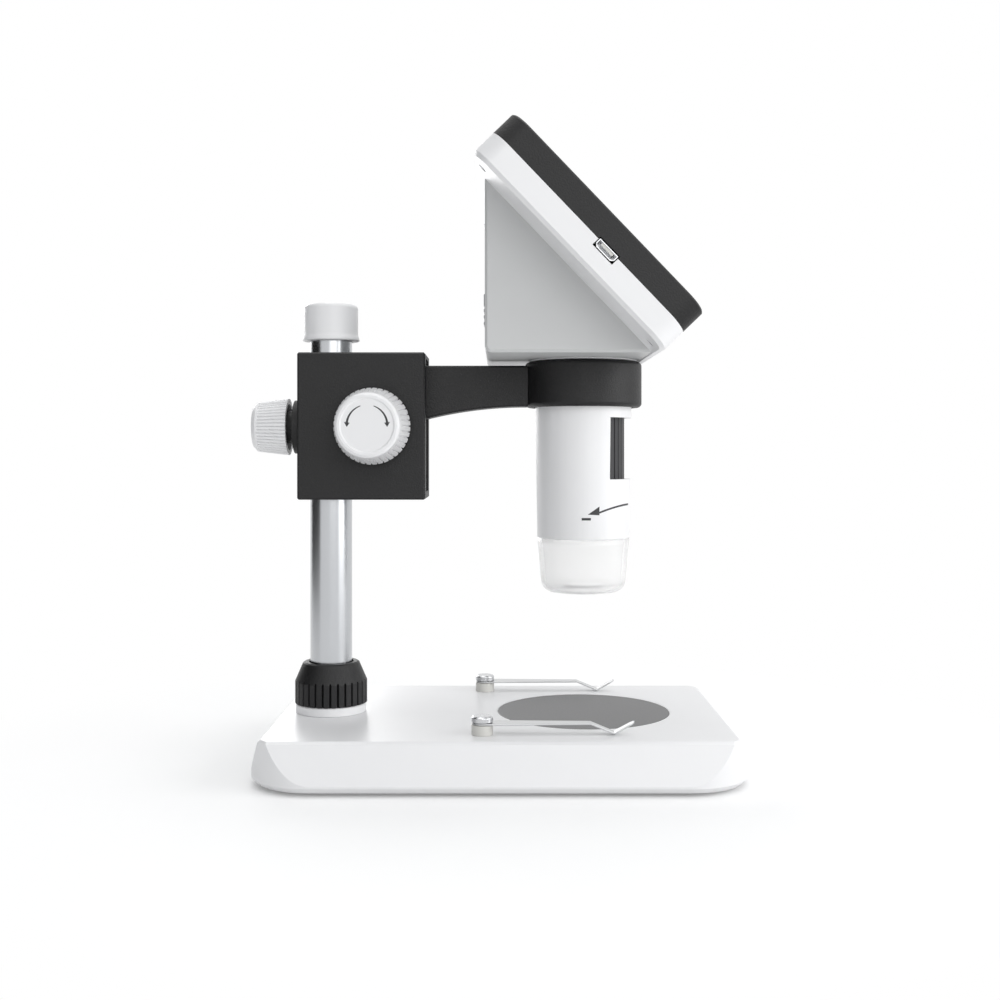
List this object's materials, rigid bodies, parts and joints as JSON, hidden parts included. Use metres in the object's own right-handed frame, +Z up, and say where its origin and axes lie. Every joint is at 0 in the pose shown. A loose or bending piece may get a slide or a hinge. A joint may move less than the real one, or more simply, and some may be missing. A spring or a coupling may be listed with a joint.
{
  "type": "digital microscope",
  "caption": "Digital microscope with a tilted screen on a wedge-shaped head, held by an arm and ring on a round post over a flat base with a stage and spring clips.",
  "frame": {"origin": "on the floor under the middle of the whole instrument", "axes": "+X from the post towards the screen, +Y across, +Z up"},
  "size_m": [0.1604, 0.121, 0.2023],
  "materials": {
    "white_plastic": "satin moulded",
    "plate_steel": "zinc plated",
    "rubber": "matte",
    "steel": "satin turned",
    "stage_plastic": "matte",
    "pale_plastic": "matte",
    "spring_steel": "satin rolled",
    "black_plastic": "fine matte grain",
    "brass": "turned",
    "lens_glass": "polished",
    "board": "solder mask",
    "lamp": "clear resin",
    "clear_plastic": "clear moulded",
    "key_plastic": "satin",
    "window_plastic": "polished",
    "lcd": "matte",
    "cell_foil": "foil"
  },
  "bodies": {
    "stand": {"base_shell": "white_plastic", "post_socket": "white_plastic", "base_cover": "white_plastic", "ballast_plate": "plate_steel", "rubber_feet": "rubber", "cover_screws": "steel", "stage_disc": "stage_plastic", "column_collet": "pale_plastic", "clip_pins": "steel", "clip_bushes": "pale_plastic"},
    "collar_nut": {"collar_nut": "black_plastic"},
    "column": {"column_tube": "steel", "column_cap": "white_plastic"},
    "bracket": {"bracket_housing": "black_plastic", "column_bush": "pale_plastic", "rear_flange": "black_plastic", "rear_insert": "brass", "lock_insert": "brass"},
    "rear_pad": {"rear_clamp_pad": "pale_plastic"},
    "rear_knob": {"rear_knob": "white_plastic", "rear_stud": "black_plastic"},
    "lock_pad": {"lock_pad": "pale_plastic"},
    "lock_knob": {"lock_knob": "white_plastic", "lock_stud": "steel"},
    "arm": {"arm_beam": "black_plastic", "holder_ring": "black_plastic", "slide_block": "black_plastic", "arm_screws": "steel"},
    "ring_liner": {"ring_liner": "pale_plastic"},
    "scope": {"barrel_shell": "white_plastic", "clear_cap": "clear_plastic", "led_board": "board", "leds": "lamp", "sensor_board": "board", "head_housing": "white_plastic", "key_board": "board", "rear_case": "white_plastic", "bezel": "black_plastic", "screen_window": "window_plastic", "lcd_module": "lcd", "main_board": "board", "battery": "cell_foil", "usb_socket": "steel", "card_socket": "steel", "case_screws": "steel", "dimmer_pot": "black_plastic"},
    "focus_wheel": {"focus_wheel": "black_plastic"},
    "lens_cell": {"lens_cell": "black_plastic", "objective_lens": "lens_glass"},
    "shutter_key": {"shutter_key": "key_plastic"},
    "upper_key": {"upper_key": "key_plastic"},
    "middle_key": {"middle_key": "key_plastic"},
    "lower_key": {"lower_key": "key_plastic"},
    "dimmer_wheel": {"dimmer_wheel": "black_plastic"},
    "clip_near": {"spring_clip_near": "spring_steel"},
    "clip_far": {"spring_clip_far": "spring_steel"}
  },
  "joints": [
    {"name": "column_turn", "type": "hinge", "parent": "stand", "child": "column", "pos_m": [-0.05435, 0, 0.0156], "axis": [0, 0, 1], "range_deg": [-180, 180]},
    {"name": "collar_nut_turn", "type": "hinge", "parent": "stand", "child": "collar_nut", "pos_m": [-0.05435, 0, 0.0156], "axis": [0, 0, 1], "range_deg": [0, 360]},
    {"name": "bracket_height", "type": "slide", "parent": "column", "child": "bracket", "axis": [0, 0, 1], "range_m": [-0.02, 0.004]},
    {"name": "rear_pad_slide", "type": "slide", "parent": "bracket", "child": "rear_pad", "axis": [-1, 0, 0], "range_m": [0, 0.002]},
    {"name": "rear_knob_turn", "type": "hinge", "parent": "rear_pad", "child": "rear_knob", "pos_m": [-0.06405, 0, 0.11145], "axis": [-1, 0, 0], "range_deg": [0, 720]},
    {"name": "lock_pad_slide", "type": "slide", "parent": "bracket", "child": "lock_pad", "axis": [0, -1, 0], "range_m": [0, 0.002]},
    {"name": "lock_knob_turn", "type": "hinge", "parent": "lock_pad", "child": "lock_knob", "pos_m": [-0.03925, -0.012, 0.11145], "axis": [0, -1, 0], "range_deg": [0, 720]},
    {"name": "arm_slide", "type": "slide", "parent": "bracket", "child": "arm", "axis": [0, 0, 1], "range_m": [-0.012, 0.002]},
    {"name": "scope_swivel", "type": "hinge", "parent": "arm", "child": "ring_liner", "pos_m": [0.03075, 0, 0.0743], "axis": [0, 0, 1], "range_deg": [-75, 75]},
    {"name": "scope_lift", "type": "slide", "parent": "ring_liner", "child": "scope", "axis": [0, 0, 1], "range_m": [0, 0.085]},
    {"name": "focus_turn", "type": "hinge", "parent": "scope", "child": "focus_wheel", "pos_m": [0.03075, 0, 0.0743], "axis": [0, 0, 1], "range_deg": [-160, 160]},
    {"name": "lens_focus", "type": "slide", "parent": "scope", "child": "lens_cell", "axis": [0, 0, 1], "range_m": [-0.0054, 0.0054]},
    {"name": "shutter_key_press", "type": "slide", "parent": "scope", "child": "shutter_key", "axis": [1, 0, 0], "range_m": [0, 0.0004], "stiffness_N_per_m": 250},
    {"name": "upper_key_press", "type": "slide", "parent": "scope", "child": "upper_key", "axis": [1, 0, 0], "range_m": [0, 0.0004], "stiffness_N_per_m": 250},
    {"name": "middle_key_press", "type": "slide", "parent": "scope", "child": "middle_key", "axis": [1, 0, 0], "range_m": [0, 0.0004], "stiffness_N_per_m": 250},
    {"name": "lower_key_press", "type": "slide", "parent": "scope", "child": "lower_key", "axis": [1, 0, 0], "range_m": [0, 0.0004], "stiffness_N_per_m": 250},
    {"name": "dimmer_turn", "type": "hinge", "parent": "scope", "child": "dimmer_wheel", "pos_m": [0.01811, 0.055, 0.17427], "axis": [0.7218, 0, 0.6921], "range_deg": [-135, 135]},
    {"name": "clip_near_turn", "type": "hinge", "parent": "stand", "child": "clip_near", "pos_m": [-0.00285, -0.036, 0.0189], "axis": [0, 0, 1], "range_deg": [-120, 35]},
    {"name": "clip_far_turn", "type": "hinge", "parent": "stand", "child": "clip_far", "pos_m": [-0.00285, 0.036, 0.0189], "axis": [0, 0, 1], "range_deg": [-35, 120]}
  ],
  "couplings": [
    {"joint": "rear_pad_slide", "follows": "rear_knob_turn", "m_per_rad": 0.000159},
    {"joint": "lock_pad_slide", "follows": "lock_knob_turn", "m_per_rad": 0.000159},
    {"joint": "lens_focus", "follows": "focus_turn", "m_per_rad": 0.0019099}
  ]
}
